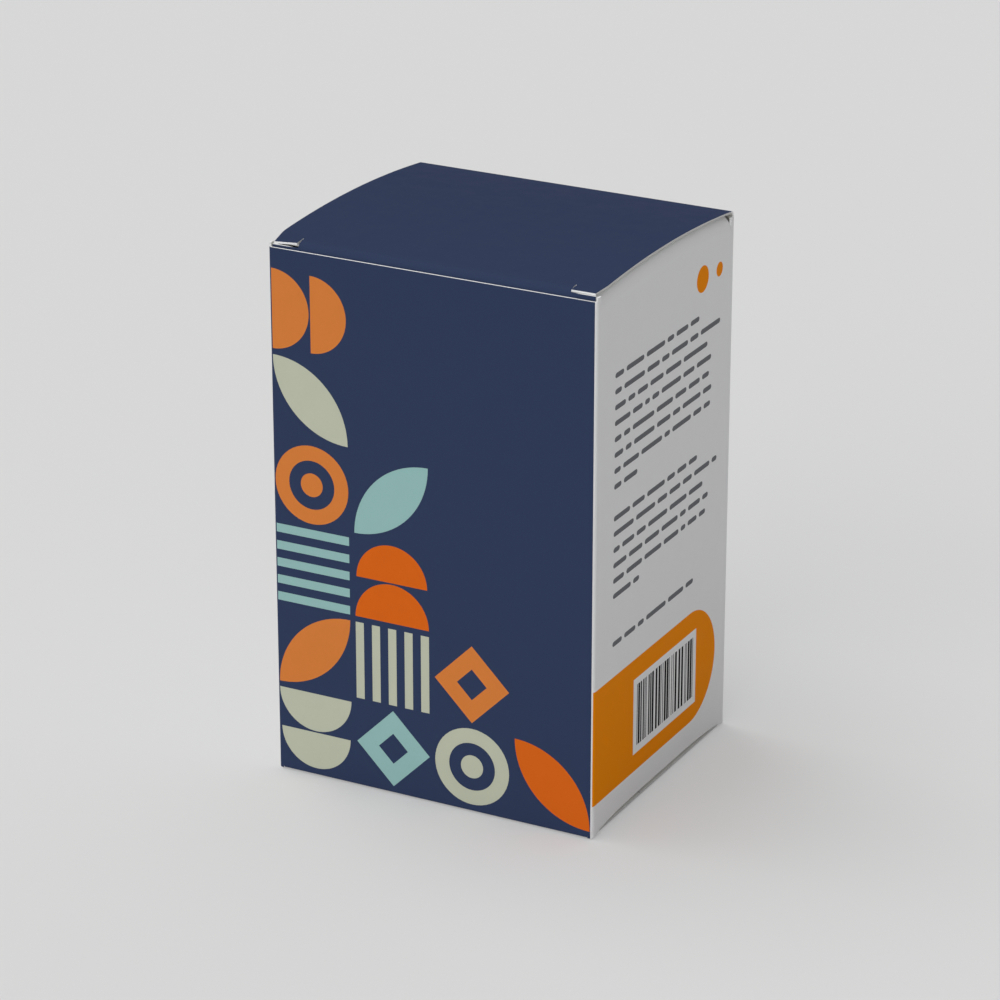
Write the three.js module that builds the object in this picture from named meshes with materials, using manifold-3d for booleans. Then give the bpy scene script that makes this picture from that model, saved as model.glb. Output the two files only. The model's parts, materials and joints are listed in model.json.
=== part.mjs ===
// Auto-bottom carton: one folded sheet of board, with a slit-locked tuck lid hinged at the back.
// Millimetres, +Z up. The origin is the middle of the underside, and the front panel faces -Y.

import * as THREE from 'three';
import { mergeVertices } from 'three/addons/utils/BufferGeometryUtils.js';
import Module from 'manifold-3d';

const wasm = await Module();
wasm.setup();

// Panels and board
const width = 80;               // outside, left to right
const depth = 69;               // outside, front to back
const height = 125;             // floor to the raw top edge of the front panel
const board = 0.45;             // thickness of the folding board
const foldRadius = 1;           // outside radius of a scored fold
const layerGap = 0.15;          // air between two sheets that lie on each other

// Lid and its tuck flap
const lidInset = 0.45;          // lid's side edge, inside the side panel's face
const lidBow = 1.75;            // how far the lid arches over its chord
const lidBackRise = 0.5;        // back fold above the front panel's edge
const earRise = 1.5;            // ear's top face above the front panel's edge
const earSetback = 0.93;        // ear's front edge behind the front panel's face
const earLength = 7.5;          // length of each slit, from the lid's side edge
const slitGap = 0.25;           // width of the slit between an ear and the rolled front
const lidRollRadius = 2.8;      // soft fold between lid and tuck flap
const tuckLength = 16;          // tuck flap, below the soft fold
const tuckCornerRadius = 6;     // lower corners of the tuck flap
const tuckClearance = 0.3;      // tuck flap behind the front panel, and inside the side panels
const hingeGap = 0.3;           // the fold at the back is split here, measured on the outer face

// Dust flaps, folded in from the side panels under the lid
const dustLength = 28;          // from the side panel's face inwards
const dustRollRadius = 1.6;     // soft fold at the top of a side panel
const dustClearance = 0.2;      // dust flap under the lid
const dustFrontSetback = 2;     // flap's root behind the front panel's face
const dustNotch = 1.5;          // flap's front edge steps back again, clear of the rolled front
const dustTaper = 5;            // chamfer of the flap's free corners
const backRelief = 2.2;         // flap's root ends this far before the back panel's face
const sideLip = 0.85;           // side panel's sheet above the front panel's edge, at the front corner
const sideBackDrop = 0.7;       // side panel's top edge below the front panel's, at the back corner
const sideRoot = 3;             // side walls are plain up to this far below the front panel's edge

// Bottom: two long flaps hook into each other, over two glued side flaps
const majorFoldInset = 1.3;     // long flap's fold ends this far inside the side panel's face
const majorInset = 0.4;         // and the flap itself this far, so that its cut edge shows
const hookReach = 9;            // how far the long half of each flap passes the middle
const hookChamfer = 7;          // cut corner of the long half
const tongueReach = 3;          // how far the tongue passes the middle, one layer up
const tongueStart = 2;          // tongue's inner side, from the middle
const tongueWidth = 15;
const tongueRamp = 4.6;         // stretch in which the tongue climbs one layer
const minorLength = 20;         // side flap, inwards from its fold
const minorInset = 3;           // side flap's root, inside the front and back faces
const minorTipWidth = 24;       // side flap's free edge
const glueSpot = 6;             // side of the square glue spot
const glueSpotX = 28;           // glue spot's middle, from the centre line
const glueSpotY = 15.5;

// Glued seam at the back left corner
const seamWidth = 12;
const seamTaper = 7;            // slant at each end of the glue flap
const seamEndGap = 5;           // glue flap's end, from the bottom and from the top edge

const arcSteps = 6;             // facets in a quarter of a fold
const archSteps = 20;           // facets along the lid's arch
const overlap = 0.05;           // how far two sheets of one solid sink into each other where they join
const seat = 0.02;              // and how far their faces stand apart there

const halfWidth = width / 2;
const halfDepth = depth / 2;
const lidHalf = halfWidth - lidInset;
const tuckHalf = halfWidth - board - tuckClearance;
const slitX = lidHalf - earLength;
const tuckFace = halfDepth - board - tuckClearance;
const minorLevel = board + layerGap;
const tubeBottom = minorLevel + foldRadius;

// The lid's arch is a circle through the top of the back fold and the front edge of the ears.
const foldCentre = new THREE.Vector2(halfDepth - foldRadius, height + lidBackRise - foldRadius);
const archBack = new THREE.Vector2(foldCentre.x, height + lidBackRise);
const archFront = new THREE.Vector2(earSetback - halfDepth, height + earRise);
const archChord = archBack.clone().sub(archFront);
const archRadius = archChord.lengthSq() / (8 * lidBow) + lidBow / 2;
const archDown = new THREE.Vector2(archChord.y, -archChord.x).normalize();
const archCentre = archBack.clone().add(archFront).multiplyScalar(0.5)
  .addScaledVector(archDown, archRadius - lidBow);

// The hinge axis lies on the outer face, half way round the back fold.
const hinge = polar(foldCentre, foldRadius, Math.PI / 4);
const tuckRadius = hinge.x + tuckFace;

// The soft fold at the front touches the arch and the tuck flap's curve from inside.
const rollCentre = circlesMeet(archCentre, archRadius - lidRollRadius, hinge, tuckRadius - lidRollRadius);

function polar(centre, radius, angle) {
  return new THREE.Vector2(centre.x + radius * Math.cos(angle), centre.y + radius * Math.sin(angle));
}

// The meeting point of two circles that lies towards the front and above the panels' middle.
function circlesMeet(first, firstRadius, second, secondRadius) {
  const span = second.clone().sub(first);
  const gap = span.length();
  const along = (gap * gap + firstRadius ** 2 - secondRadius ** 2) / (2 * gap);
  const aside = Math.sqrt(firstRadius ** 2 - along ** 2);
  const unit = span.divideScalar(gap);
  const side = new THREE.Vector2(-unit.y, unit.x);
  const foot = first.clone().addScaledVector(unit, along);
  const meetings = [foot.clone().addScaledVector(side, aside), foot.clone().addScaledVector(side, -aside)];
  return meetings.sort((a, b) => a.x - b.x)[0];
}

function angleFrom(centre, point) {
  return Math.atan2(point.y - centre.y, point.x - centre.x);
}

// A sheet's section is a row of pairs, each with a point of the outer face and the point of the
// inner face behind it. The angle is the way that the outer face looks there.
function pair(x, y, angle) {
  const outer = new THREE.Vector2(x, y);
  return [outer, polar(outer, -board, angle)];
}

// Pairs round a bend, whose outer face has the given radius.
function bend(centre, radius, from, to, steps) {
  const pairs = [];
  for (let i = 0; i <= steps; i += 1) {
    const angle = from + (to - from) * (i / steps);
    pairs.push([polar(centre, radius, angle), polar(centre, radius - board, angle)]);
  }
  return pairs;
}

function sheetSection(pairs) {
  const outer = pairs.map(([point]) => point);
  const inner = pairs.map(([, point]) => point);
  return new THREE.Shape([...outer, ...inner.reverse()]);
}

// Height of the lid's outer face over a place between front and back.
function archHeight(y) {
  return archCentre.y + Math.sqrt(archRadius ** 2 - (y - archCentre.x) ** 2);
}

function polygon(corners) {
  return new THREE.Shape(corners.map(([u, v]) => new THREE.Vector2(u, v)));
}

function rectangle(u0, v0, u1, v1) {
  return polygon([[u0, v0], [u1, v0], [u1, v1], [u0, v1]]);
}

function roundedRectangle(shape, halfU, halfV, radius) {
  shape.moveTo(halfU, radius - halfV);
  shape.absarc(halfU - radius, halfV - radius, radius, 0, Math.PI / 2);
  shape.absarc(radius - halfU, halfV - radius, radius, Math.PI / 2, Math.PI);
  shape.absarc(radius - halfU, radius - halfV, radius, Math.PI, Math.PI * 1.5);
  shape.absarc(halfU - radius, radius - halfV, radius, Math.PI * 1.5, Math.PI * 2);
  return shape;
}

const sectionAxes = {
  alongX: new THREE.Matrix4().makeBasis(
    new THREE.Vector3(0, 1, 0), new THREE.Vector3(0, 0, 1), new THREE.Vector3(1, 0, 0)),
  alongY: new THREE.Matrix4().makeBasis(
    new THREE.Vector3(1, 0, 0), new THREE.Vector3(0, 0, 1), new THREE.Vector3(0, -1, 0)),
  alongZ: new THREE.Matrix4(),
};

// A section drawn in YZ, XZ or XY and carried along the third axis from one place to another.
function carried(shape, axis, from, to, steps = 1) {
  const geometry = new THREE.ExtrudeGeometry(shape, {
    depth: to - from, steps, bevelEnabled: false, curveSegments: arcSteps,
  });
  geometry.translate(0, 0, axis === 'alongY' ? -to : from);
  geometry.applyMatrix4(sectionAxes[axis]);
  return geometry;
}

function toSolid(geometry) {
  geometry.deleteAttribute('normal');
  geometry.deleteAttribute('uv');
  const merged = mergeVertices(geometry);
  return new wasm.Manifold(new wasm.Mesh({
    numProp: 3,
    vertProperties: new Float32Array(merged.attributes.position.array),
    triVerts: new Uint32Array(merged.index.array),
  }));
}

function solid(shape, axis, from, to) {
  return toSolid(carried(shape, axis, from, to));
}

function toMesh(name, body, look) {
  const { vertProperties, triVerts } = body.getMesh();
  const geometry = new THREE.BufferGeometry();
  geometry.setAttribute('position', new THREE.BufferAttribute(new Float32Array(vertProperties), 3));
  geometry.setIndex(new THREE.BufferAttribute(new Uint32Array(triVerts), 1));
  geometry.computeVertexNormals();
  const mesh = new THREE.Mesh(geometry, new THREE.MeshStandardMaterial(look));
  mesh.name = name;
  return mesh;
}

function mirroredX(body) {
  return body.mirror([1, 0, 0]);
}

function turnedHalf(body) {
  return body.rotate([0, 0, 180]);
}

// The four panels, as a tube with rounded upright folds.
function panelTube(from, to) {
  const outline = roundedRectangle(new THREE.Shape(), halfWidth, halfDepth, foldRadius);
  const inside = roundedRectangle(new THREE.Path(), halfWidth - board, halfDepth - board, foldRadius - board);
  outline.holes.push(inside);
  return solid(outline, 'alongZ', from, to);
}

// The tube's side walls stop low between the corners, where the dust flaps' sheet takes over.
function panels() {
  const front = dustFrontSetback - halfDepth;
  const back = halfDepth - backRelief;
  const sideWall = solid(
    rectangle(halfWidth - foldRadius, front, width, back), 'alongZ', height - sideRoot, height * 2);
  const backCorners = solid(rectangle(-width, back, width, depth), 'alongZ', height - sideBackDrop, height * 2);
  const lipRoom = solid(
    rectangle(halfWidth - foldRadius + layerGap, board - halfDepth, width, front), 'alongZ', 0, height * 2);
  const lip = panelTube(height, height + sideLip).intersect(lipRoom);
  return panelTube(tubeBottom, height)
    .subtract(sideWall).subtract(mirroredX(sideWall)).subtract(backCorners).add(lip).add(mirroredX(lip));
}

// Back panel's own half of the fold that carries the lid.
function backFold() {
  const end = Math.PI / 4 - hingeGap / 2 / foldRadius;
  const section = [
    pair(halfDepth, height - sideBackDrop, 0), ...bend(foldCentre, foldRadius, 0, end, arcSteps),
  ];
  return solid(sheetSection(section), 'alongX', -lidHalf, lidHalf);
}

// Right dust flap: the side panel's sheet rolls inwards and follows the lid's arch.
function dustFlap() {
  const front = dustFrontSetback - halfDepth;
  const back = halfDepth - backRelief;
  const tip = halfWidth - dustLength;
  const face = halfWidth - seat;
  const rollMiddle = new THREE.Vector2(face - dustRollRadius, height - dustRollRadius);
  const section = [
    pair(face, height - sideRoot - overlap, 0),
    ...bend(rollMiddle, dustRollRadius, 0, Math.PI / 2, arcSteps),
    pair(tip, height, Math.PI / 2),
  ];
  const geometry = carried(sheetSection(section), 'alongY', front - overlap, back + overlap, archSteps);
  const position = geometry.attributes.position;
  for (let i = 0; i < position.count; i += 1) {
    const flapTop = archHeight(position.getY(i)) - board - dustClearance;
    const z = position.getZ(i);
    const lift = z > height - sideRoot ? flapTop - height : 0;
    position.setZ(i, z + lift);
  }
  const slitEnd = slitX - slitGap;
  const outline = polygon([
    [width, front - dustNotch], [slitEnd + slitGap * 2, front - dustNotch],
    [slitEnd + slitGap * 2, front + dustNotch],
    [tip + dustTaper, front + dustNotch], [tip, front + dustNotch + dustTaper],
    [tip, back - dustTaper], [tip + dustTaper, back], [halfWidth - dustRollRadius, back],
    [halfWidth - dustRollRadius, depth], [width, depth],
  ]);
  return toSolid(geometry).intersect(solid(outline, 'alongZ', 0, height * 2));
}

// Front long flap of the bottom. Its left half passes the middle, and its right half
// ends in a tongue that climbs onto the long half of the back flap.
function majorFlap() {
  const foldEnd = halfWidth - majorFoldInset;
  const end = halfWidth - majorInset;
  const root = foldRadius - halfDepth;
  const foldMiddle = new THREE.Vector2(root, foldRadius);
  const shortEnd = -hookReach - layerGap * 2;
  const rampStart = shortEnd - tongueRamp;
  const section = [
    pair(-halfDepth, tubeBottom, Math.PI),
    ...bend(foldMiddle, foldRadius, Math.PI, Math.PI * 1.5, arcSteps),
    pair(hookReach, 0, Math.PI * 1.5),
  ];
  const outline = polygon([
    [-foldEnd, -depth], [foldEnd, -depth], [foldEnd, root], [end, root + foldRadius], [end, shortEnd],
    [tongueStart + tongueWidth, shortEnd], [tongueStart + tongueWidth, rampStart - foldRadius],
    [tongueStart, rampStart - foldRadius], [tongueStart, shortEnd], [-layerGap, shortEnd],
    [-layerGap, hookReach + overlap], [hookChamfer - end, hookReach + overlap],
    [-end, hookReach - hookChamfer], [-end, root + foldRadius], [-foldEnd, root],
  ]);
  const flap = solid(sheetSection(section), 'alongX', -width, width)
    .intersect(solid(outline, 'alongZ', -board, height));

  const slope = Math.atan2(minorLevel, tongueRamp) / 2;
  const tongue = sheetSection([
    pair(rampStart - foldRadius, 0, Math.PI * 1.5), pair(rampStart, 0, Math.PI * 1.5 + slope),
    pair(shortEnd, minorLevel, Math.PI * 1.5 + slope), pair(tongueReach, minorLevel, Math.PI * 1.5),
  ]);
  return flap.add(solid(tongue, 'alongX', tongueStart, tongueStart + tongueWidth));
}

// Right side flap of the bottom, one layer above the long flaps, glued to the front one.
function minorFlap() {
  const foldMiddle = new THREE.Vector2(halfWidth - foldRadius, tubeBottom);
  const inner = halfWidth - foldRadius - minorLength;
  const root = halfDepth - minorInset;
  const section = [
    pair(inner, minorLevel, -Math.PI / 2), ...bend(foldMiddle, foldRadius, -Math.PI / 2, 0, arcSteps),
  ];
  const outline = polygon([
    [width, -root - overlap], [halfWidth - foldRadius, -root - overlap], [inner - overlap, -minorTipWidth / 2],
    [inner - overlap, minorTipWidth / 2], [halfWidth - foldRadius, root + overlap], [width, root + overlap],
  ]);
  const glue = rectangle(
    glueSpotX - glueSpot / 2, -glueSpotY - glueSpot / 2, glueSpotX + glueSpot / 2, glueSpot / 2 - glueSpotY);
  return solid(sheetSection(section), 'alongY', -root, root)
    .intersect(solid(outline, 'alongZ', -board, height))
    .add(solid(glue, 'alongZ', board - overlap, minorLevel + overlap));
}

// Glue flap of the left side panel, stuck to the inside of the back panel.
function glueFlap() {
  const root = board - halfWidth - overlap;
  const free = board + seamWidth - halfWidth;
  const low = tubeBottom + seamEndGap;
  const high = height - seamEndGap;
  const outline = polygon([[root, low], [free, low + seamTaper], [free, high - seamTaper], [root, high]]);
  return solid(outline, 'alongY', halfDepth - board * 2, halfDepth - board + overlap);
}

function carton() {
  const dust = dustFlap();
  const major = majorFlap();
  const minor = minorFlap();
  const pieces = [
    panels(), backFold(), dust, mirroredX(dust), major, turnedHalf(major), minor, turnedHalf(minor), glueFlap(),
  ];
  return pieces.reduce((whole, piece) => whole.add(piece));
}

// The lid is one sheet. Its panel runs from the back fold to the last facet of the arch, and from
// there the sheet goes on as the rolled front between the slits and as an ear beside each slit.
function lid() {
  const foldStart = Math.PI / 4 + hingeGap / 2 / foldRadius;
  const archStart = angleFrom(archCentre, archBack);
  const archEnd = angleFrom(archCentre, rollCentre);
  const earEnd = angleFrom(archCentre, archFront);
  const tuckTop = Math.PI * 2 + angleFrom(hinge, rollCentre);
  const tuckEnd = tuckTop + tuckLength / tuckRadius;
  const shoulderTop = Math.PI - Math.asin((height + earRise - board - layerGap - hinge.y) / tuckRadius);

  const arch = bend(archCentre, archRadius, archStart, archEnd, archSteps);
  const panel = [...bend(foldCentre, foldRadius, foldStart, archStart, arcSteps).slice(0, -1), ...arch.slice(0, -1)];
  const tuck = bend(hinge, tuckRadius, tuckTop, tuckEnd, arcSteps);
  const front = [
    arch[archSteps - 1], ...bend(rollCentre, lidRollRadius, archEnd, tuckTop, arcSteps * 2), ...tuck.slice(1),
  ];
  const ear = [arch[archSteps - 1], arch[archSteps], ...bend(archCentre, archRadius, archEnd, earEnd, 2).slice(1)];
  const shoulder = [...bend(hinge, tuckRadius, shoulderTop, tuckTop, 2).slice(0, -1), ...tuck];

  const frontHalf = slitX - slitGap;
  const rightEar = solid(sheetSection(ear), 'alongX', slitX, lidHalf);
  const rightShoulder = solid(sheetSection(shoulder), 'alongX', frontHalf, tuckHalf);
  const whole = [
    solid(sheetSection(panel), 'alongX', -lidHalf, lidHalf),
    solid(sheetSection(front), 'alongX', -frontHalf, frontHalf),
    rightEar, mirroredX(rightEar), rightShoulder, mirroredX(rightShoulder),
  ].reduce((sum, piece) => sum.add(piece));
  return whole.subtract(tuckCorners(polar(hinge, tuckRadius, tuckEnd).y));
}

// What the rounding of the tuck flap's two lower corners takes away.
function tuckCorners(tip) {
  const keep = roundedRectangle(new THREE.Shape(), tuckHalf, tuckCornerRadius * 2, tuckCornerRadius);
  const kept = solid(keep, 'alongY', -width, width).translate([0, 0, tip + tuckCornerRadius * 2]);
  const low = solid(rectangle(-width, tip - board, width, tip + tuckCornerRadius), 'alongY', -depth, 0);
  return low.subtract(kept);
}

const cartonLook = { color: '#e8e8e5', roughness: 0.62, metalness: 0 };
const lidLook = { color: '#323c55', roughness: 0.55, metalness: 0 };

const box = new THREE.Group();
box.add(toMesh('carton', carton(), cartonLook));
box.add(toMesh('lid', lid(), lidLook));

export default box;
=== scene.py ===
import json
import math

import bpy
import numpy as np
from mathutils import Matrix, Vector
from mathutils.geometry import delaunay_2d_cdt

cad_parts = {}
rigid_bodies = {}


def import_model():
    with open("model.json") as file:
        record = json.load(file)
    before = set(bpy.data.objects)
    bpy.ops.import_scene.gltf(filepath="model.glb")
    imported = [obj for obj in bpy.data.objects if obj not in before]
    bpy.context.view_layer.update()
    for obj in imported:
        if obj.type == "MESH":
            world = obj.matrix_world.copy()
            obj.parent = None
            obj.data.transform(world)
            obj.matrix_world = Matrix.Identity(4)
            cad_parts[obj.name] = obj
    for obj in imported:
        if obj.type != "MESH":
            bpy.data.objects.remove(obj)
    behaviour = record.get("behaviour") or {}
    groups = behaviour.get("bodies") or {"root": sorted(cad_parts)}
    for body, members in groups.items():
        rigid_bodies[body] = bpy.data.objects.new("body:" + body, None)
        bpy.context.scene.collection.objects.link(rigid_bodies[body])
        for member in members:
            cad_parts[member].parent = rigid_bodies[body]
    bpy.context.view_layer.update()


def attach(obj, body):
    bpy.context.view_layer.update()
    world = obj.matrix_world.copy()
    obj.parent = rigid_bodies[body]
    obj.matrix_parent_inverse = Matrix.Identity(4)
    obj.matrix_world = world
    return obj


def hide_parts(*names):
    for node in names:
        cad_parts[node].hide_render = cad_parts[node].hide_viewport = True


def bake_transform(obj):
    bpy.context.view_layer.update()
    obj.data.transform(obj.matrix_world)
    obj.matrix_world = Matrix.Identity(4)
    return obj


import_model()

carton = {
    "width": 80.0, "depth": 69.0, "height": 125.0,
    "board": 0.45,              # thickness of the folding board
    "foldRadius": 1.0,          # outside of a scored fold
    "layerGap": 0.15,           # air between two sheets
    "slit": 0.05,               # a cut between two parts of the blank
    "foldSteps": 5,             # facets in half a fold
}
halfWidth, halfDepth, height = carton["width"] / 2, carton["depth"] / 2, carton["height"]
board, foldRadius, layerGap = carton["board"], carton["foldRadius"], carton["layerGap"]
slit, steps = carton["slit"], carton["foldSteps"]
quarter = math.pi / 2
halfFold = foldRadius * quarter / 2      # length of half an upright fold


def linear(code):
    # sRGB hex to linear light: the low part is a straight line, the rest a power of 2.4.
    srgb = [int(code[i:i + 2], 16) / 255 for i in (1, 3, 5)]
    return [c / 12.92 if c <= 0.04045 else ((c + 0.055) / 1.055) ** 2.4 for c in srgb] + [1.0]


def addNode(tree, kind, settings=None, inputs=None, links=None):
    # Adds one node; settings are its properties, inputs its socket values, links the sockets
    # that feed it.
    node = tree.nodes.new("ShaderNode" + kind)
    for key, value in (settings or {}).items():
        setattr(node, key, value)
    for key, value in (inputs or {}).items():
        node.inputs[key].default_value = value
    for key, socket in (links or {}).items():
        tree.links.new(socket, node.inputs[key])
    return node


def emptyTree(owner):
    owner.use_nodes = True
    owner.node_tree.nodes.clear()
    return owner.node_tree


finish = {
    "navy": "#313c58", "orange": "#d27c3c", "deepOrange": "#d4631a", "sage": "#babeaa",
    "aqua": "#91b8b5", "sideOrange": "#e88600", "textGrey": "#6a6b6f", "barBlack": "#131314",
    # the second edge colour below is the cut edge's colour darkened: painted shade for edges turned
    # from the lamps or low beside the floor
    "white": "#e1e1e2", "inside": "#e9e8e3", "cutEdge": "#ebebec", "paintedShadeEdge": "#c6c6c6",
    "mottle": 5.0,              # cloudiness of the ink film, mm
    "fibre": 0.45,              # fibre lumps under the coating, mm; finer ones don't show
    "fibreDepth": 0.006,        # mm
    "edgeFibre": 0.25,          # fibres torn by the die, mm
    "edgeDepth": 0.03,          # mm
    "sheen": 0.02,              # a matt varnish scatters most of its reflection
}


def coatedBoard(name, colour, roughness=0.55, mottling=0.02, relief=1.0):
    # Clay-coated folding boxboard, offset printed and sealed with a matt water-based varnish:
    # a slightly cloudy ink film over faint fibre lumps, with a soft low sheen.
    material = bpy.data.materials.new(name)
    tree = emptyTree(material)
    place = addNode(tree, "TexCoord").outputs["Object"]
    cloud = addNode(tree, "TexNoise", None,
                    {"Scale": 1000 / finish["mottle"], "Detail": 3.0, "Roughness": 0.6},
                    {"Vector": place}).outputs["Fac"]
    speck = addNode(tree, "TexNoise", None,
                    {"Scale": 1000 / finish["fibre"], "Detail": 4.0, "Roughness": 0.65},
                    {"Vector": place}).outputs["Fac"]
    both = addNode(tree, "Math", {"operation": "ADD"}, None, {0: cloud, 1: speck}).outputs[0]
    shade = addNode(tree, "MapRange", None,
                    {"From Min": 0.6, "From Max": 1.4, "To Min": 1 - mottling,
                     "To Max": 1 + mottling}, {"Value": both}).outputs[0]
    tint = addNode(tree, "Mix", {"data_type": "RGBA", "blend_type": "MULTIPLY"},
                   {0: 1.0, 6: linear(colour)}, {7: shade}).outputs[2]
    gloss = addNode(tree, "MapRange", None,
                    {"From Min": 0.3, "From Max": 0.7, "To Min": roughness - 0.05,
                     "To Max": roughness + 0.07}, {"Value": cloud}).outputs[0]
    bump = addNode(tree, "Bump", None,
                   {"Strength": 0.35 * relief, "Distance": finish["fibreDepth"] / 1000},
                   {"Height": speck}).outputs[0]
    surface = addNode(tree, "BsdfPrincipled", None,
                      {"IOR": 1.48, "Specular IOR Level": finish["sheen"]},
                      {"Base Color": tint, "Roughness": gloss, "Normal": bump}).outputs[0]
    addNode(tree, "OutputMaterial", None, None, {"Surface": surface})
    return material


def cutBoard(name, colour):
    # The die-cut edge: three plies of bare fibre, matt and slightly streaked.
    material = bpy.data.materials.new(name)
    tree = emptyTree(material)
    place = addNode(tree, "TexCoord").outputs["Object"]
    streak = addNode(tree, "TexNoise", None,
                     {"Scale": 1000 / finish["edgeFibre"], "Detail": 3.0},
                     {"Vector": place}).outputs["Fac"]
    shade = addNode(tree, "MapRange", None, {"To Min": 0.9, "To Max": 1.07},
                    {"Value": streak}).outputs[0]
    tint = addNode(tree, "Mix", {"data_type": "RGBA", "blend_type": "MULTIPLY"},
                   {0: 1.0, 6: linear(colour)}, {7: shade}).outputs[2]
    bump = addNode(tree, "Bump", None,
                   {"Strength": 0.5, "Distance": finish["edgeDepth"] / 1000},
                   {"Height": streak}).outputs[0]
    surface = addNode(tree, "BsdfPrincipled", None, {"Roughness": 0.85},
                      {"Base Color": tint, "Normal": bump}).outputs[0]
    addNode(tree, "OutputMaterial", None, None, {"Surface": surface})
    return material


inks = {
    "white": coatedBoard("coatedWhiteBoard", finish["white"], 0.55, 0.012),
    "inside": coatedBoard("uncoatedBoardInside", finish["inside"], 0.75, 0.025, 2.0),
    "cutEdge": cutBoard("dieCutBoardEdge", finish["cutEdge"]),
    # the same cut edge, darker: painted shade
    "paintedShadeEdge": cutBoard("dieCutBoardEdgePaintedShade", finish["paintedShadeEdge"]),
}
for ink in ("navy", "orange", "deepOrange", "sage", "aqua", "sideOrange", "textGrey", "barBlack"):
    inks[ink] = coatedBoard(ink + "OffsetInk", finish[ink])
print("finishes made")

bakeMap = {"innerScale": 0.3, "margin": 2.0, "edgeShare": 0.9}    # scale, mm, share of its strip


def foldedSheet(name, outline, carry, lines=(), prints=(), base="white", edge="cutEdge",
                paintedShadeSideEdge=None):
    # The flat outline is cut into triangles along every fold line and every printed shape. carry
    # gives each flat point its place and outward direction; the inner face lies one board behind
    # it, and a rim closes the two along the cut. Where the rim looks left or right, it may take a
    # second, darker edge colour, which paints shade on it.
    points, loops, edges = [], [], []
    inkNames = [base] + [ink for _, ink in prints]
    for loop in [outline] + [shape for shape, _ in prints]:
        loop = np.asarray(loop, float)
        u, v = loop.T
        if np.sum(u * np.roll(v, -1) - np.roll(u, -1) * v) < 0:
            loop = loop[::-1]
        loops.append(list(range(len(points), len(points) + len(loop))))
        points.extend(map(Vector, loop.tolist()))
    for line in lines:
        edges.append((len(points), len(points) + 1))
        points.extend(map(Vector, line))
    flat, _, faces, _, _, owners = delaunay_2d_cdt(points, edges, loops, 1, 1e-5)
    kept = [i for i, owner in enumerate(owners) if 0 in owner]
    faces = np.array([faces[i] for i in kept])
    look = [inkNames[max(owners[i])] for i in kept]
    used, faces = np.unique(faces, return_inverse=True)
    faces = faces.reshape(-1, 3)
    flat = np.array([tuple(p) for p in flat])[used]
    count = len(flat)

    outer, normal = carry(flat[:, 0], flat[:, 1])
    inner = outer - board * normal
    corner = outer[faces]
    facing = np.cross(corner[:, 1] - corner[:, 0], corner[:, 2] - corner[:, 0])
    if np.sum(facing * normal[faces[:, 0]]) < 0:
        faces = faces[:, ::-1]
    start, end = faces.ravel(), np.roll(faces, -1, 1).ravel()
    isOpen = ~np.isin(start * count + end, end * count + start)
    a, b = start[isOpen], end[isOpen]
    rim = np.stack([b, a, a + count, b + count], 1)
    points = np.concatenate([outer, inner])
    rimNormal = np.cross(points[rim[:, 1]] - points[rim[:, 0]],
                         points[rim[:, 2]] - points[rim[:, 1]])
    rimNormal /= np.linalg.norm(rimNormal, axis=1)[:, None]

    mesh = bpy.data.meshes.new(name)
    mesh.from_pydata((points / 1000).tolist(), [],
                     faces.tolist() + (faces[:, ::-1] + count).tolist() + rim.tolist())
    slots = sorted(set(look)) + ["inside", edge, paintedShadeSideEdge or edge]
    for slot in slots:
        mesh.materials.append(inks[slot])
    index = [slots.index(ink) for ink in look] + [len(slots) - 3] * len(faces)
    # rims that look left or right take the darker edge colour: painted shade
    towardsSide = np.abs(rimNormal[:, 0]) > math.sqrt(0.5)
    index += np.where(towardsSide, len(slots) - 1, len(slots) - 2).tolist()
    mesh.polygons.foreach_set("material_index", index)

    # Bake map: the outer face flat, the inner face smaller beside it, the edges in a strip below.
    low, size = flat.min(0), np.ptp(flat, 0)
    small, margin = bakeMap["innerScale"], bakeMap["margin"]
    across = size[0] * (1 + small) + 3 * margin
    tall = size[1] + 3 * margin
    outerMap = flat - low + [margin, 2 * margin]
    innerMap = (flat - low) * small + [size[0] + 2 * margin, 2 * margin]
    step = across / len(rim)
    left = np.arange(len(rim)) * step
    rimMap = np.stack([np.stack([left + k * step * bakeMap["edgeShare"], np.full(len(rim), w)], 1)
                       for k, w in ((0, 0.0), (1, 0.0), (1, 1.0), (0, 1.0))], 1)
    uv = np.concatenate([outerMap[faces].reshape(-1, 2), innerMap[faces[:, ::-1]].reshape(-1, 2),
                         rimMap.reshape(-1, 2)]) / max(across, tall)
    mesh.uv_layers.new(name="OFBake").data.foreach_set("uv", uv.ravel())

    loopNormal = np.concatenate([normal[faces].reshape(-1, 3),
                                 -normal[faces[:, ::-1]].reshape(-1, 3),
                                 np.repeat(rimNormal, 4, 0)])
    mesh.validate()
    mesh.normals_split_custom_set(loopNormal.tolist())
    sheet = bpy.data.objects.new(name, mesh)
    bpy.context.collection.objects.link(sheet)
    return sheet


def ruled(us, vs, low, high):
    # Fold lines: one across the box low-high for each u, and one for each v.
    return ([((u, low[1]), (u, high[1])) for u in us]
            + [((low[0], v), (high[0], v)) for v in vs])


def disc(u, v, radius, start=0.0, end=2 * math.pi, count=48):
    # Points on a circle: the middle plus the radius times the cosine and sine of the angle. A
    # full circle leaves out the last point, which would repeat the first.
    angle = np.linspace(start, end, count, endpoint=end - start < 2 * math.pi)
    return np.stack([u + radius * np.cos(angle), v + radius * np.sin(angle)], 1)


def box(u0, v0, u1, v1):
    return [(u0, v0), (u1, v0), (u1, v1), (u0, v1)]


def turned(quarters, across, out, up):
    # Places a panel's own directions in the room: 0 front, 1 right, 2 back, 3 left.
    x, y = across, -out
    for _ in range(quarters):
        x, y = -y, x
    return np.stack([x, y, up + 0 * x], 1)


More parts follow.
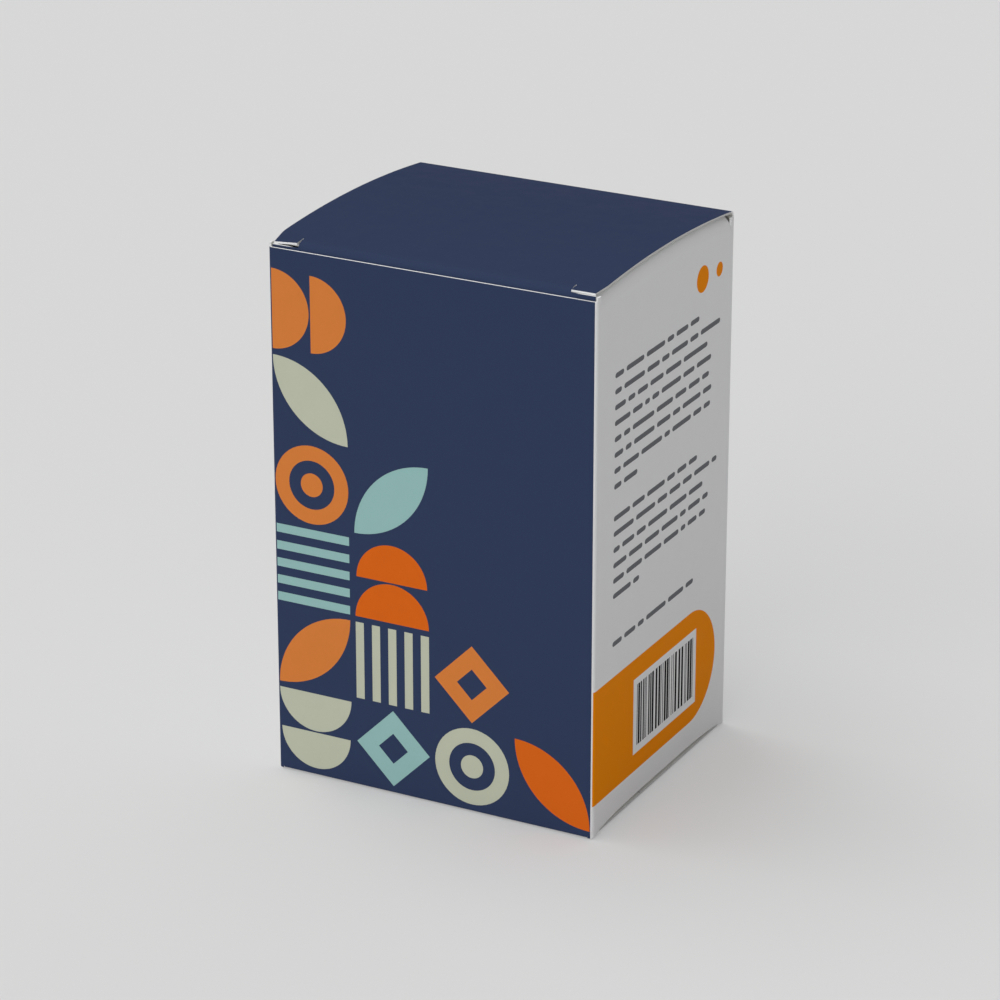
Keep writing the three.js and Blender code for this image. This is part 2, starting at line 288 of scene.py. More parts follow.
def creased(a, half):
    # Straight across the panel, then half way round the upright fold at each side: past the flat
    # the angle is the length over the radius. Gives place, depth and the outward direction.
    flat = half - foldRadius
    angle = np.clip(np.abs(a) - flat, 0, None) / foldRadius
    side = np.sign(a)
    across = np.where(angle > 0, side * (flat + foldRadius * np.sin(angle)), a)
    return across, foldRadius * (1 - np.cos(angle)), side * np.sin(angle), np.cos(angle)


def tuckedUnder(v, level, radius):
    # Straight down to level, then a quarter turn inwards: the height drops with the sine of the
    # angle, and the sheet moves in by the radius less its cosine.
    angle = np.clip((level - v) / radius, 0, quarter)
    up = np.where(v > level, v, level - radius * np.sin(angle))
    return radius * (1 - np.cos(angle)), up, np.cos(angle), -np.sin(angle)


print("sheet functions ready")

# The lid's profile lies in Y and Z: back fold, bowed panel, soft front fold, tuck flap.
lidShape = {
    "inset": 0.45,              # from the sides' faces
    "bow": 1.75, "backRise": 0.5,
    "join": 0.3,                # how far the back fold's own strip reaches on to the lid
    "foldHold": 0.3,            # and down the back panel; the blend ends this far to each side
    "rollRadius": 2.8, "tuckLength": 16.0, "tuckCorner": 6.0, "tuckClearance": 0.3,
    "earRise": 1.5, "earSetback": 1.2, "earLength": 6.25, "earTaper": 0.55, "taperLength": 4.5,
    "earGap": 0.1,              # between the ear's cut and the shoulder under it
    "slitGap": 0.25, "slitStart": 0.5, "shoulderBlend": 2.6, "underEar": 0.05,
    "leftDroop": 0.5,           # the left ear hangs this much lower, as the left side bows more
    "droopLength": 4.5, "droopBlend": 1.5, "droopPower": 1.5,
    # facets along the bow, the soft fold, the tuck flap, the ear, the shoulder and the back fold
    "bowSteps": 24, "rollSteps": 14, "tuckSteps": 6, "earSteps": 7, "shoulderSteps": 6,
    "backSteps": 21,
}
lidHalf = halfWidth - lidShape["inset"]
tuckHalf = halfWidth - board - lidShape["tuckClearance"]
slitX = lidHalf - lidShape["earLength"]
rollHalf = slitX - lidShape["slitGap"]
foldCentre = np.array([halfDepth - foldRadius, height + lidShape["backRise"] - foldRadius])
archBack = np.array([foldCentre[0], height + lidShape["backRise"]])
archFront = np.array([lidShape["earSetback"] - halfDepth, height + lidShape["earRise"]])
chord = archBack - archFront
archRadius = chord @ chord / (8 * lidShape["bow"]) + lidShape["bow"] / 2
chordDown = np.array([chord[1], -chord[0]]) / np.linalg.norm(chord)
archCentre = (archBack + archFront) / 2 + chordDown * (archRadius - lidShape["bow"])
hinge = foldCentre + foldRadius * math.sqrt(0.5)
tuckRadius = hinge[0] + halfDepth - board - lidShape["tuckClearance"]


def circlesMeet(first, firstRadius, second, secondRadius):
    # The meeting point of two circles that lies towards the front: along the line between their
    # centres to the common chord, then half that chord aside.
    span = second - first
    gap = np.linalg.norm(span)
    along = (gap ** 2 + firstRadius ** 2 - secondRadius ** 2) / (2 * gap)
    aside = math.sqrt(firstRadius ** 2 - along ** 2)
    unit = span / gap
    foot = first + unit * along
    return min((foot + s * aside * np.array([-unit[1], unit[0]]) for s in (1, -1)),
               key=lambda p: p[0])


def angleFrom(centre, point):
    return math.atan2(point[1] - centre[1], point[0] - centre[0])


def arcs(*parts, count=40):
    # A profile of arcs, each given as centre, radius, first and last angle. A row is the length
    # so far, then the place, which is the centre plus the radius along the angle, and the angle.
    # Where two arcs join, the length still grows by a hair, so that follow can tell them apart.
    rows = []
    for centre, radius, start, end in parts:
        angle = np.linspace(start, end, count)
        rows.append(np.stack([centre[0] + radius * np.cos(angle),
                              centre[1] + radius * np.sin(angle), angle], 1))
    rows = np.concatenate(rows)
    stride = np.linalg.norm(np.diff(rows[:, :2], axis=0), axis=1)
    length = np.concatenate([[0], np.cumsum(np.maximum(stride, 1e-7))])
    return np.column_stack([length, rows])


def follow(profile, s):
    # Place and outward direction at a length s along a profile, between its two nearest rows.
    y, z, angle = (np.interp(s, profile[:, 0], profile[:, k]) for k in (1, 2, 3))
    return y, z, np.cos(angle), np.sin(angle)


rollCentre = circlesMeet(archCentre, archRadius - lidShape["rollRadius"],
                         hinge, tuckRadius - lidShape["rollRadius"])
archStart = angleFrom(archCentre, archBack)
archEnd = angleFrom(archCentre, rollCentre)
earEnd = angleFrom(archCentre, archFront)
tuckTop = 2 * math.pi + angleFrom(hinge, rollCentre)
tuckEnd = tuckTop + lidShape["tuckLength"] / tuckRadius
shoulderTop = math.pi - math.asin(
    (archFront[1] - board - lidShape["underEar"] - hinge[1]) / tuckRadius)
joinStart = archStart + lidShape["join"] / archRadius

nearlyStraight = 1e5             # an arc this large stands for the back panel's flat
foldProfile = arcs(
    (foldCentre - [nearlyStraight, 0], nearlyStraight + foldRadius,
     -lidShape["foldHold"] / nearlyStraight, 0.0),
    (foldCentre, foldRadius, 0.0, archStart), (archCentre, archRadius, archStart, joinStart))
lidProfile = arcs(
    (archCentre, archRadius, joinStart, archEnd),
    (rollCentre, lidShape["rollRadius"], archEnd, tuckTop), (hinge, tuckRadius, tuckTop, tuckEnd))
rollStart = archRadius * (archEnd - joinStart)
tuckStart = rollStart + lidShape["rollRadius"] * (tuckTop - archEnd)
shoulderStart = tuckStart - tuckRadius * (tuckTop - shoulderTop)
earStop = shoulderStart - lidShape["earGap"]
tuckStop = lidProfile[-1, 0]
droopStart = rollStart - lidShape["droopLength"]


def archHeight(y):
    # Height of the lid's bow: its centre plus the side of a right triangle on the radius.
    return archCentre[1] + np.sqrt(archRadius ** 2 - (y - archCentre[0]) ** 2)


def carryLid(x, s):
    # Every point follows the profile. Beside the slits the arch goes straight on as an ear. Below
    # the ear's cut the sheet leaves the soft fold little by little, until it stands upright as
    # the tuck flap's shoulder: a weight from 0 to 1 mixes the two places and directions.
    y, z, ny, nz = follow(lidProfile, s)
    front = (earStop + shoulderStart) / 2
    ear = (np.abs(x) > (rollHalf + slitX) / 2) & (s > rollStart) & (s < front)
    earAngle = archEnd + (s - rollStart) / (earStop - rollStart) * (earEnd - archEnd)
    away = np.clip((np.abs(x) - rollHalf) / lidShape["shoulderBlend"], 0, 1)
    away = np.where((s > front) & (s < tuckStart), away * away * (3 - 2 * away), 0)
    tuckAngle = tuckTop + (s - tuckStart) / tuckRadius
    for weight, centre, radius, angle in ((ear * 1.0, archCentre, archRadius, earAngle),
                                          (away, hinge, tuckRadius, tuckAngle)):
        y = y + weight * (centre[0] + radius * np.cos(angle) - y)
        z = z + weight * (centre[1] + radius * np.sin(angle) - z)
        ny, nz = ny + weight * (np.cos(angle) - ny), nz + weight * (np.sin(angle) - nz)
    droop = (np.clip((s - droopStart) / (earStop - droopStart), 0, 1)
             * np.clip((-x - rollHalf) / lidShape["droopBlend"], 0, 1))
    z = z - lidShape["leftDroop"] * np.where(s < front, droop, 0) ** lidShape["droopPower"]
    size = np.hypot(ny, nz)
    return np.stack([x, y, z], 1), np.stack([0 * x, ny / size, nz / size], 1)


def lidOutline():
    corner = lidShape["tuckCorner"]
    slitStop = rollStart - lidShape["slitStart"]
    right = [(lidHalf, 0.0), (lidHalf, earStop - lidShape["taperLength"]),
             (lidHalf - lidShape["earTaper"], earStop), (slitX, earStop), (slitX, slitStop),
             (rollHalf, slitStop), (rollHalf, shoulderStart), (tuckHalf, shoulderStart)]
    right += disc(tuckHalf - corner, tuckStop - corner, corner, 0, quarter, count=9).tolist()
    low = shoulderStart + lidShape["leftDroop"]
    left = [(-x, low if s == shoulderStart else s) for x, s in reversed(right)]
    return right + left


archLines = np.linspace(0, rollStart, lidShape["bowSteps"] + 1)
rollLines = np.linspace(rollStart, tuckStart, lidShape["rollSteps"] + 1)[1:]
tuckLines = np.linspace(tuckStart, tuckStop, lidShape["tuckSteps"] + 1)[1:-1]
droopLines = droopStart + np.linspace(0, earStop - droopStart, lidShape["earSteps"] + 1)
shoulderLines = [side * (rollHalf + lidShape["shoulderBlend"] * k / lidShape["shoulderSteps"])
                 for k in range(1, lidShape["shoulderSteps"] + 1) for side in (1, -1)]
lidLines = ruled([-lidHalf / 2, 0, lidHalf / 2],
                 np.concatenate([archLines, rollLines, tuckLines, droopLines]),
                 (-halfWidth, 0), (halfWidth, tuckStop))
lidLines += ruled(shoulderLines, [], (-halfWidth, shoulderStart), (halfWidth, tuckStart))
# the lid's left and right cut edges are painted darker, as painted shade
lid = foldedSheet("lid.sheet", lidOutline(), carryLid, lidLines, base="navy",
                  paintedShadeSideEdge="paintedShadeEdge")


def carryFold(x, s):
    # Straight across, and along the back fold's profile.
    y, z, ny, nz = follow(foldProfile, s)
    return np.stack([x, y, z], 1), np.stack([0 * x, ny, nz], 1)


foldStop = foldProfile[-1, 0]
foldLines = ruled([-halfWidth / 2, 0, halfWidth / 2],
                  np.linspace(0, foldStop, lidShape["backSteps"] + 1)[1:-1],
                  (-lidHalf, 0), (lidHalf, foldStop))
backFold = foldedSheet("lid.back_fold", box(-lidHalf, 0, lidHalf, foldStop), carryFold,
                       foldLines, base="navy")
print("lid made")

# A generic pattern on the front, in tiles that step down to the right.
frontArt = {
    "tile": 20.0, "gap": 1.4, "stripes": 5,
    "lowest": 11.0,             # middle of the lowest row
    "inkWrap": 0.44,            # how far the ink goes round the right upright fold
    "halfTrim": 0.04,           # the second half disc is this share smaller
    "ringHole": 0.62, "ringDot": 0.3, "diamondHole": 0.4,      # shares of the tile
    # rows from the top, columns from the left: motif, ink, turn
    "rows": [
        ["half orange 3", "", "", ""],
        ["leaf sage 0", "", "", ""],
        ["ring orange 0", "leaf aqua 1", "", ""],
        ["stripes aqua 0", "half deepOrange 0", "", ""],
        ["leaf orange 1", "stripes sage 1", "diamond orange 0", ""],
        ["half sage 2", "diamond aqua 0", "ring sage 0", "leaf deepOrange 0"],
    ],
}


def motif(kind, turn, size):
    # Shapes of one tile about its middle, built from discs and straight outlines; the second
    # value is False where the shape is cut out again.
    half = size / 2
    if kind == "half":
        trim = frontArt["halfTrim"]
        shapes = [(disc(0, -half, half, 0, math.pi), True),
                  (disc(0, trim * half, half * (1 - trim), 0, math.pi), True)]
    elif kind == "leaf":
        rise = disc(-half, -half, size, 0, quarter, count=24)
        fall = disc(half, half, size, math.pi, math.pi + quarter, count=24)
        shapes = [(np.concatenate([rise, fall]), True)]
    elif kind == "ring":
        shapes = [(disc(0, 0, half), True), (disc(0, 0, half * frontArt["ringHole"]), False),
                  (disc(0, 0, half * frontArt["ringDot"]), True)]
    elif kind == "diamond":
        hole = half * frontArt["diamondHole"]
        shapes = [([(half, 0), (0, half), (-half, 0), (0, -half)], True),
                  ([(hole, 0), (0, hole), (-hole, 0), (0, -hole)], False)]
    else:
        band = size / (2 * frontArt["stripes"] - 1)
        shapes = [(box(-half, -half + 2 * i * band, half, -half + (2 * i + 1) * band), True)
                  for i in range(frontArt["stripes"])]
    c, s = [(1, 0), (0, 1), (-1, 0), (0, -1)][turn]
    return [(np.asarray(shape) @ np.array([[c, s], [-s, c]]), filled) for shape, filled in shapes]


def frontPrint(bottom):
    flat = halfWidth - foldRadius
    shapes = [(box(-flat - halfFold, bottom, flat + frontArt["inkWrap"], height), "navy")]
    tile, rows = frontArt["tile"], frontArt["rows"]
    for r, row in enumerate(rows):
        for c, cell in enumerate(row):
            if not cell:
                continue
            kind, ink, turn = cell.split()
            up = frontArt["lowest"] + (len(rows) - 1 - r) * tile
            middle = np.array([(c - (len(row) - 1) / 2) * tile, up])
            for shape, filled in motif(kind, int(turn), tile - frontArt["gap"]):
                shapes.append((shape + middle, ink if filled else "navy"))
    return shapes


# The right side's print. Across is measured from the front fold, up from the floor.
sideArt = {
    "pill": (0.0, 62.8, 7.7, 35.3), "dots": [(52.4, 114.4, 3.1), (61.2, 114.1, 1.68)],
    "label": (20.0, 52.5, 12.0, 30.4), "bars": (21.8, 50.9, 13.8, 28.7), "modules": 95,
    "textLeft": 9.0, "barHeight": 1.2, "wordGap": 1.15,
    "wordPitch": 7.2, "wordLength": (2.2, 9.5),
    # base lines with the right end of each, in place of the words
    "lines": [(105.1, 51), (101.4, 62), (97.8, 55.5), (94.2, 57.6), (90.5, 56.6), (86.9, 58),
              (83.2, 57.5), (79.6, 20.4), (72.2, 51.1), (68.6, 61.6), (64.8, 54.3), (61.2, 57.3),
              (57.6, 56), (54, 22), (42.6, 50.2)],
    "seed": 11,
}


def sidePrint():
    # Bars and word lengths are drawn at random; the words of a line are scaled to fill it.
    rng = np.random.default_rng(sideArt["seed"])
    left, right, low, high = sideArt["pill"]
    radius = (high - low) / 2
    end = disc(right - radius, low + radius, radius, -quarter, quarter, count=40)
    shapes = [(np.concatenate([end, [(left, high), (left, low)]]), "sideOrange")]
    shapes += [(disc(u, v, r), "sideOrange") for u, v, r in sideArt["dots"]]
    u0, u1, v0, v1 = sideArt["label"]
    shapes.append((box(u0, v0, u1, v1), "white"))
    u0, u1, v0, v1 = sideArt["bars"]
    module, at = (u1 - u0) / sideArt["modules"], 0
    while at < sideArt["modules"]:
        bar, space = rng.choice([1, 1, 2, 3], 2)
        bar = min(bar, sideArt["modules"] - at)
        shapes.append((box(u0 + at * module, v0, u0 + (at + bar) * module, v1), "barBlack"))
        at += bar + space
    r, gap = sideArt["barHeight"] / 2, sideArt["wordGap"]
    for base, stop in sideArt["lines"]:
        room = stop - sideArt["textLeft"]
        count = max(2, round(room / sideArt["wordPitch"]))
        words = rng.uniform(*sideArt["wordLength"], count)
        words *= (room - gap * (count - 1)) / words.sum()
        start = sideArt["textLeft"] + np.concatenate([[0], np.cumsum(words[:-1] + gap)])
        for a, word in zip(start, words):
            ends = [disc(a + word - r, base + r, r, -quarter, quarter, count=5),
                    disc(a + r, base + r, r, quarter, 3 * quarter, count=5)]
            shapes.append((np.concatenate(ends), "textGrey"))
    return [(np.asarray(shape) - [halfDepth, 0], ink) for shape, ink in shapes]


frontShape = {
    "foldInset": 1.3,           # bottom fold ends this far inside the side panels' faces
    "cornerDrop": 0.03,         # lower end of the panel beside that fold
    "bottomRadius": 0.5,
    "backTop": 124.2,           # the back panel stops where the lid's fold strip starts
    "seamEdge": 0.7,            # its raw edge over the glue flap, from the left side's face
    "backMargin": 0.35,         # white left at the back panel's right upright fold
}
foldEnd = halfWidth - frontShape["foldInset"]
endRadius = frontShape["bottomRadius"]
bottomStop = endRadius - endRadius * quarter
upright = [side * (halfWidth - foldRadius + halfFold * k / steps)
           for k in range(steps + 1) for side in (1, -1)]
underLines = [endRadius - endRadius * quarter * k / (2 * steps) for k in range(2 * steps)]


def carryEndPanel(quarters, flatAt=1e9):
    # Front or back panel: round the upright folds across, and round the bottom fold downwards
    # between its two ends. Past flatAt the sheet stays flat.
    def carry(a, v):
        across, sink, na, no = creased(a, halfWidth)
        free = a > flatAt
        across, sink = np.where(free, a, across), np.where(free, 0, sink)
        na, no = np.where(free, 0, na), np.where(free, 1, no)
        inFold = np.abs(a) < foldEnd + slit / 2
        under, up, outward, upward = tuckedUnder(v, endRadius, endRadius)
        under, outward = np.where(inFold, under, 0), np.where(inFold, outward, 1)
        up, upward = np.where(inFold, up, v), np.where(inFold, upward, 0)
        return (turned(quarters, across, halfDepth - sink - under, up),
                turned(quarters, na * outward, no * outward, upward))
    return carry


def endOutline(left, right, top):
    drop = frontShape["cornerDrop"]
    return [(left, top), (left, drop), (-foldEnd - slit, drop), (-foldEnd - slit, endRadius),
            (-foldEnd, endRadius), (-foldEnd, bottomStop), (foldEnd, bottomStop),
            (foldEnd, endRadius), (foldEnd + slit, endRadius), (foldEnd + slit, drop),
            (right, drop), (right, top)]


endOuter = halfWidth - foldRadius + halfFold
endLines = ruled(upright, underLines, (-endOuter, bottomStop), (endOuter, height))
frontPanel = foldedSheet("carton.front_panel", endOutline(-endOuter, endOuter, height),
                         carryEndPanel(0), endLines, frontPrint(bottomStop))
seam, backTop = halfWidth - frontShape["seamEdge"], frontShape["backTop"]
backInk = box(-endOuter + frontShape["backMargin"], bottomStop, seam, backTop)
backPanel = foldedSheet("carton.back_panel", endOutline(-endOuter, seam, backTop),
                        carryEndPanel(2, halfWidth - foldRadius), endLines, [(backInk, "navy")])
print("front and back made")

sideShape = {
    "root": 4.6,                # the top edge follows the lid from this far down
    "lip": 0.85, "lipOuter": 0.417, "lipInner": 2.0,
    "backRelief": 2.2, "backDrop": 0.7,
    "rollRadius": 3.6, "dustClearance": 0.2,
    # the lower edge is raised in the middle, and only bottomHalf to each side is folded under
    "bottomHalf": 31.0, "bottomRadius": 0.6, "bottomLow": 0.05,
    "bottomBow": 1.5, "bowHalf": 34.2, "bowTop": 8.0,
    "glueFoldRadius": 0.8, "glueGap": 0.03, "glueWidth": 12.0, "glueTaper": 7.0,
    "glueLow": 6.6, "glueHigh": 120.0,
    "inkWrap": 0.4,             # how far the front's ink runs on to the left panel
    "flapSteps": 16,            # facets along the roll that leads to the dust flap
    "linesPast": 50.0,          # the fold lines run beyond the glue flap's free edge
}
flapFront, flapBack = sideShape["lipInner"] - halfDepth, halfDepth - sideShape["backRelief"]
flapLines = np.linspace(flapFront, flapBack, sideShape["flapSteps"] + 1)[1:-1]
bottomHalf, sideRadius = sideShape["bottomHalf"], sideShape["bottomRadius"]
sideOuter = halfDepth - foldRadius + halfFold
rootLevel = height - sideShape["root"]
sideStop = sideRadius - sideRadius * quarter    # lower end of the fold in the flat blank
glueRadius = sideShape["glueFoldRadius"]
glueStart = halfDepth - board - sideShape["glueGap"] - glueRadius


def rollFoot(f):
    # where the soft fold over the dust flap begins, just under the lid's arch
    return archHeight(f) - board - sideShape["dustClearance"] - sideShape["rollRadius"]


def lowerEdge(f):
    # the bow falls off with the fourth power of the share of its half width
    share = f / sideShape["bowHalf"]
    return sideShape["bottomLow"] + sideShape["bottomBow"] * np.clip(1 - share ** 4, 0, 1)


def carrySidePanel(quarters, glued):
    # As the front panel, but on the glued side the back fold is tighter and runs on as the glue
    # flap, the top edge is stretched up to the roll's foot, and the lower edge is raised by the
    # bow, which fades out with height.
    sign = 1 if quarters == 1 else -1

    def carry(a, v):
        f = a * sign
        across, sink, na, no = creased(a, halfDepth)
        if glued:
            angle = np.clip((f - glueStart) / glueRadius, 0, quarter)
            past = np.clip(f - glueStart - glueRadius * quarter, 0, None)
            atSeam = f > glueStart
            across = np.where(atSeam, sign * (glueStart + glueRadius * np.sin(angle)), across)
            sink = np.where(atSeam, glueRadius * (1 - np.cos(angle)) + past, sink)
            na, no = np.where(atSeam, sign * np.sin(angle), na), np.where(atSeam, np.cos(angle), no)
        inFlap = (f > flapFront - slit / 2) & (f < flapBack + slit / 2) & (v > rootLevel)
        share = (v - rootLevel) / sideShape["root"]
        up = np.where(inFlap, rootLevel + share * (rollFoot(f) - rootLevel), v)
        fade = np.clip(1 - (v - sideRadius) / (sideShape["bowTop"] - sideRadius), 0, 1)
        inFold = np.abs(f) < bottomHalf + slit / 2
        under, down, outward, upward = tuckedUnder(v, sideRadius, sideRadius)
        under, outward = np.where(inFold, under, 0), np.where(inFold, outward, 1)
        up = np.where(inFold & (v < sideRadius), down, up) + lowerEdge(f) * fade
        upward = np.where(inFold, upward, 0)
        return (turned(quarters, across, halfWidth - sink - under, up),
                turned(quarters, na * outward, no * outward, upward))
    return carry


def sideOutline(sign, glued):
    lipFront, lipTop = sideShape["lipOuter"] - halfDepth, height + sideShape["lip"]
    backTop = height - sideShape["backDrop"]
    path = [(-bottomHalf, sideStop), (-bottomHalf, sideRadius), (-bottomHalf - slit, sideRadius),
            (-bottomHalf - slit, 0), (-sideOuter, 0), (-sideOuter, height), (lipFront, height),
            (lipFront, lipTop), (flapFront - slit, lipTop), (flapFront - slit, rootLevel),
            (flapFront, rootLevel), (flapFront, height), (flapBack, height),
            (flapBack, rootLevel), (flapBack + slit, rootLevel), (flapBack + slit, backTop)]
    if glued:
        fold = glueStart + glueRadius * quarter
        free = fold + sideShape["glueWidth"] - glueRadius
        taper, low, high = sideShape["glueTaper"], sideShape["glueLow"], sideShape["glueHigh"]
        path += [(fold, backTop), (fold, high), (free, high - taper), (free, low + taper),
                 (fold, low), (fold, 0)]
    else:
        path += [(sideOuter, backTop), (sideOuter, 0)]
    path += [(bottomHalf + slit, 0), (bottomHalf + slit, sideRadius), (bottomHalf, sideRadius),
             (bottomHalf, sideStop)]
    return [(f * sign, v) for f, v in path]


def sideLines(sign, glued):
    fs = [side * (halfDepth - foldRadius + halfFold * k / steps)
          for k in range(steps + 1) for side in (1, -1)]
    if glued:
        fs = [f for f in fs if f < 0]
        fs += [glueStart + glueRadius * quarter * k / (2 * steps) for k in range(2 * steps + 1)]
    fs += flapLines.tolist()
    vs = [sideRadius - sideRadius * quarter * k / (2 * steps) for k in range(2 * steps)]
    vs += [sideShape["bowTop"], rootLevel, height]
    stop = sideShape["linesPast"] if glued else sideOuter
    return ruled([f * sign for f in fs], vs, (-stop, sideStop), (stop, height + 1))


leftPrint = [(box(sideOuter - sideShape["inkWrap"], 0, sideOuter, height), "navy")]
sides = (("right", 1, 1, False, sidePrint()), ("left", 3, -1, True, leftPrint))
for name, quarters, sign, glued, prints in sides:
    panel = foldedSheet(f"carton.{name}_panel", sideOutline(sign, glued),
                        carrySidePanel(quarters, glued), sideLines(sign, glued), prints)
    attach(panel, "carton")
print("sides made")

dustShape = {
    "length": 28.0, "taper": 5.0,
    "notch": 1.5, "notchAt": 32.3,      # from the carton's middle outwards
}
dustRadius = sideShape["rollRadius"]
dustFold = dustRadius * quarter
dustTip = dustFold + dustShape["length"] - dustRadius
notchAt = dustFold + halfWidth - dustRadius - dustShape["notchAt"]


def carryDust(quarters):
    # A quarter turn over the top of the side, whose foot follows the lid's bow, then flat.
    sign = 1 if quarters == 1 else -1

    def carry(t, f):
        angle = np.clip(t / dustRadius, 0, quarter)
        past = np.clip(t - dustFold, 0, None)
        out = halfWidth - dustRadius * (1 - np.cos(angle)) - past
        up = rollFoot(f) + dustRadius * np.sin(angle)
        return (turned(quarters, f * sign, out, up),
                turned(quarters, 0 * f, np.cos(angle), np.sin(angle)))
    return carry


notch, taper = dustShape["notch"], dustShape["taper"]
dustOutline = [
    (0, flapFront), (notchAt, flapFront), (notchAt, flapFront + notch),
    (dustTip - taper, flapFront + notch), (dustTip, flapFront + notch + taper),
    (dustTip, flapBack - taper), (dustTip - taper, flapBack), (0, flapBack),
]
dustLines = ruled([dustFold * k / (2 * steps) for k in range(2 * steps + 1)], flapLines,
                  (0, flapFront), (dustTip, flapBack))
for name, quarters in (("right", 1), ("left", 3)):
    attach(foldedSheet(f"carton.{name}_dust_flap", dustOutline, carryDust(quarters),
                        dustLines), "carton")

floorShape = {
    "inset": 0.5, "hookReach": 9.0, "hookChamfer": 0.2,
    "tongueReach": 3.0, "tongueStart": 2.0, "tongueWidth": 15.0, "tongueRamp": 4.6,
    "sideLength": 20.0, "sideTip": 24.0,
    "sideRamp": 8.0,            # the side flap comes down to the long flaps over this length
    "rampSteps": 4,
}
floorRoot = endRadius - halfDepth
floorEnd = halfWidth - floorShape["inset"]
upperLevel = board + layerGap
shortEnd = -floorShape["hookReach"] - 2 * layerGap
rampStart = shortEnd - floorShape["tongueRamp"]
tongueRoot = rampStart - foldRadius
tongueLeft = floorShape["tongueStart"]
tongueRight = tongueLeft + floorShape["tongueWidth"]


def carryFloor(sign):
    # Flat on the floor, face down; the tongue climbs in a straight line on to the other flap.
    def carry(x, y):
        onTongue = (x > tongueLeft - slit / 2) & (x < tongueRight + slit / 2)
        climb = np.clip((y - rampStart) / floorShape["tongueRamp"], 0, 1)
        z = np.where(onTongue, upperLevel * climb, 0)
        return (np.stack([x * sign, y * sign, z], 1),
                np.stack([0 * x, 0 * x, 0 * x - 1], 1))
    return carry


def carryFloorSide(quarters):
    # From the side's bowed fold down to the level over the long flaps, along a smooth step.
    def carry(a, d):
        share = np.clip(d / floorShape["sideRamp"], 0, 1)
        up = lowerEdge(a) + (upperLevel - lowerEdge(a)) * share * share * (3 - 2 * share)
        return (turned(quarters, a, halfWidth - sideRadius - d, up),
                turned(quarters, 0 * a, 0 * a, 0 * a - 1))
    return carry


reach, chamfer = floorShape["hookReach"], floorShape["hookChamfer"]
floorOutline = [
    (-foldEnd, floorRoot), (foldEnd, floorRoot), (floorEnd, floorRoot + foldRadius),
    (floorEnd, shortEnd), (tongueRight + slit, shortEnd), (tongueRight + slit, tongueRoot),
    (tongueRight, tongueRoot), (tongueRight, floorShape["tongueReach"]),
    (tongueLeft, floorShape["tongueReach"]), (tongueLeft, tongueRoot),
    (tongueLeft - slit, tongueRoot), (tongueLeft - slit, shortEnd), (-layerGap, shortEnd),
    (-layerGap, reach), (chamfer - floorEnd, reach), (-floorEnd, reach - chamfer),
    (-floorEnd, floorRoot + foldRadius),
]
rampLines = [((-floorEnd, y), (floorEnd, y)) for y in (rampStart, shortEnd)]
# the long floor flaps' cut edges are painted darker all round, as painted shade low by the floor
for name, sign in (("front", 1), ("back", -1)):
    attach(foldedSheet(f"carton.{name}_floor_flap", floorOutline, carryFloor(sign), rampLines,
                        edge="paintedShadeEdge"), "carton")
tip, sideLength = floorShape["sideTip"] / 2, floorShape["sideLength"]
sideFlap = [(-bottomHalf, 0), (bottomHalf, 0), (tip, sideLength), (-tip, sideLength)]
rampSteps = floorShape["rampSteps"]
sideLinesAcross = ruled(
    flapLines, [floorShape["sideRamp"] * k / rampSteps for k in range(1, rampSteps + 1)],
    (-bottomHalf, 0), (bottomHalf, sideLength))
for name, quarters in (("right", 1), ("left", 3)):
    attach(foldedSheet(f"carton.{name}_floor_flap", sideFlap, carryFloorSide(quarters),
                        sideLinesAcross), "carton")
print("flaps made")

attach(frontPanel, "carton")
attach(backPanel, "carton")
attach(lid, "lid")
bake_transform(backFold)
for piece in bpy.context.scene.objects:
    if piece.name.startswith("carton."):
        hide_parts("carton")
    elif piece.name.startswith("lid."):
        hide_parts("lid")
print("all pieces ride on their bodies")

studio = {
    "floor": "#d5d5d5",         # as the camera sees it
    "paper": "#e0e0e0",         # as the lamps see it
    "floorGlow": 0.40, "skyline": 0.19, "overhead": 0.66,
    "floorHalf": 8.0, "floorDrop": 0.0003,      # metres
    # lamp: strength, how wide the sky patch is in degrees, and where it stands
    "key": (1.08, 42.0, (-0.46, 0.02, 0.888)), "fill": (1.62, 70.0, (-0.15, -0.97, 0.17)),
    "azimuth": 27.73, "elevation": 21.95, "distance": 0.921, "lens": 146.7,
    "target": (-0.0011, 0.0, 0.0606),
}
floorMesh = bpy.data.meshes.new("studioFloor")
far, level = studio["floorHalf"], -studio["floorDrop"]
floorMesh.from_pydata([(x, y, level) for x, y in box(-far, -far, far, far)], [], [(0, 1, 2, 3)])
floor = bpy.data.objects.new("studioFloor", floorMesh)
bpy.context.collection.objects.link(floor)
paper = bpy.data.materials.new("studioPaper")
tree = emptyTree(paper)
shaded = addNode(tree, "BsdfDiffuse", None, {"Color": linear(studio["paper"])}).outputs[0]
glow = addNode(tree, "Emission", None,
               {"Color": linear(studio["floor"]), "Strength": 1.0}).outputs[0]
seen = addNode(tree, "LightPath").outputs["Is Camera Ray"]
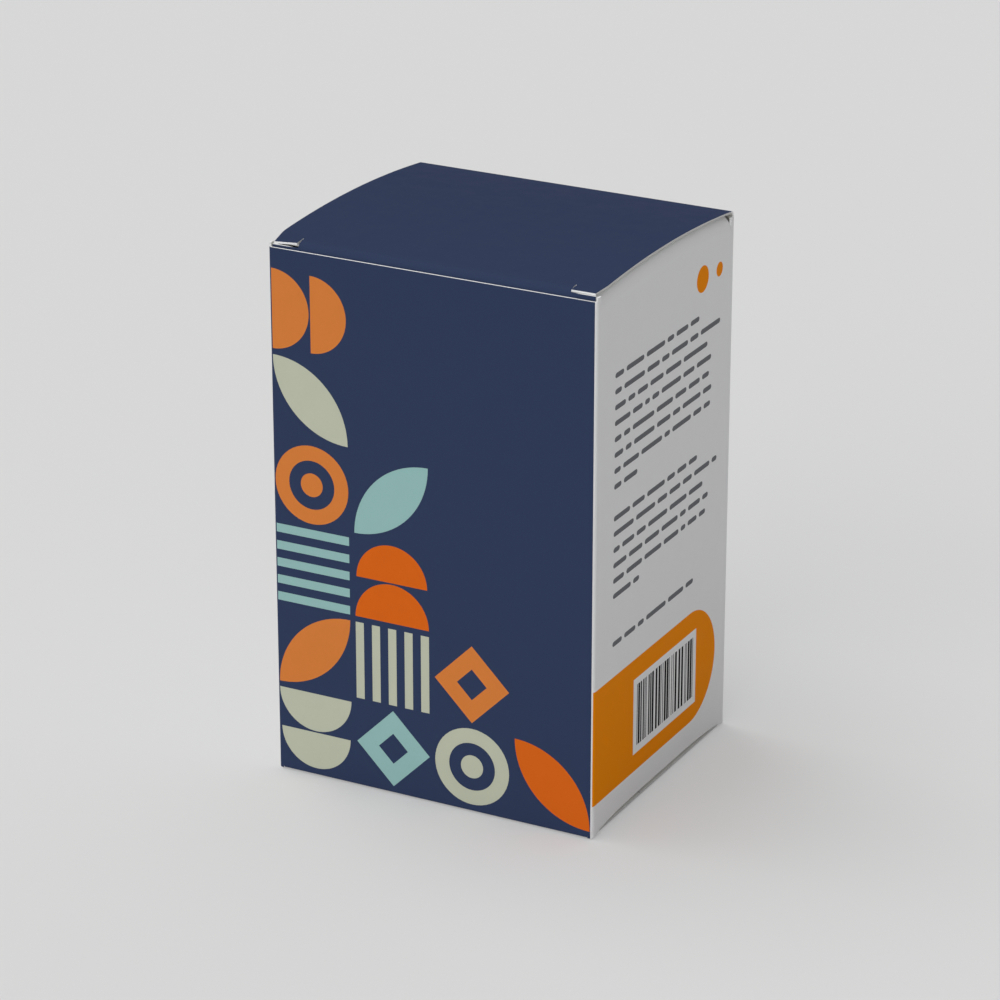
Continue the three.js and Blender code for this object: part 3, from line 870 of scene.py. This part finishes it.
share = addNode(tree, "Math", {"operation": "MULTIPLY"}, {1: studio["floorGlow"]},
                {0: seen}).outputs[0]
surface = addNode(tree, "MixShader", None, None, {0: share, 1: shaded, 2: glow}).outputs[0]
addNode(tree, "OutputMaterial", None, None, {"Surface": surface})
floorMesh.materials.append(paper)

# the air is dim at the skyline and bright overhead, but the camera sees the plain backdrop
world = bpy.data.worlds.new("studioAir")
tree = emptyTree(world)
direction = addNode(tree, "TexCoord").outputs["Generated"]
rise = addNode(tree, "SeparateXYZ", None, None, {0: direction}).outputs["Z"]
dome = addNode(tree, "MapRange", None,
               {"To Min": studio["skyline"], "To Max": studio["overhead"]},
               {"Value": rise}).outputs[0]
lit = addNode(tree, "Background", None, {"Color": (1, 1, 1, 1)}, {"Strength": dome}).outputs[0]
backdrop = addNode(tree, "Background", None, {"Color": linear(studio["floor"])}).outputs[0]
seen = addNode(tree, "LightPath").outputs["Is Camera Ray"]
air = addNode(tree, "MixShader", None, None, {0: seen, 1: lit, 2: backdrop}).outputs[0]
addNode(tree, "OutputWorld", None, None, {"Surface": air})
bpy.context.scene.world = world

for name in ("key", "fill"):
    energy, spread, towards = studio[name]
    light = bpy.data.lights.new(name, "SUN")
    light.energy, light.angle = energy, math.radians(spread)
    lamp = bpy.data.objects.new(name, light)
    lamp.rotation_euler = Vector(towards).to_track_quat("Z", "Y").to_euler()
    bpy.context.collection.objects.link(lamp)

azimuth, elevation = math.radians(studio["azimuth"]), math.radians(studio["elevation"])
back = Vector((math.sin(azimuth) * math.cos(elevation), -math.cos(azimuth) * math.cos(elevation),
               math.sin(elevation)))
camera = bpy.data.objects.new("camera", bpy.data.cameras.new("camera"))
camera.data.lens = studio["lens"]
camera.data.sensor_width = 36
camera.data.clip_start = 0.01
camera.location = Vector(studio["target"]) + back * studio["distance"]
camera.rotation_euler = back.to_track_quat("Z", "Y").to_euler()
bpy.context.collection.objects.link(camera)
bpy.context.scene.camera = camera
bpy.context.scene.view_settings.view_transform = "Standard"
print("room, light and camera ready")
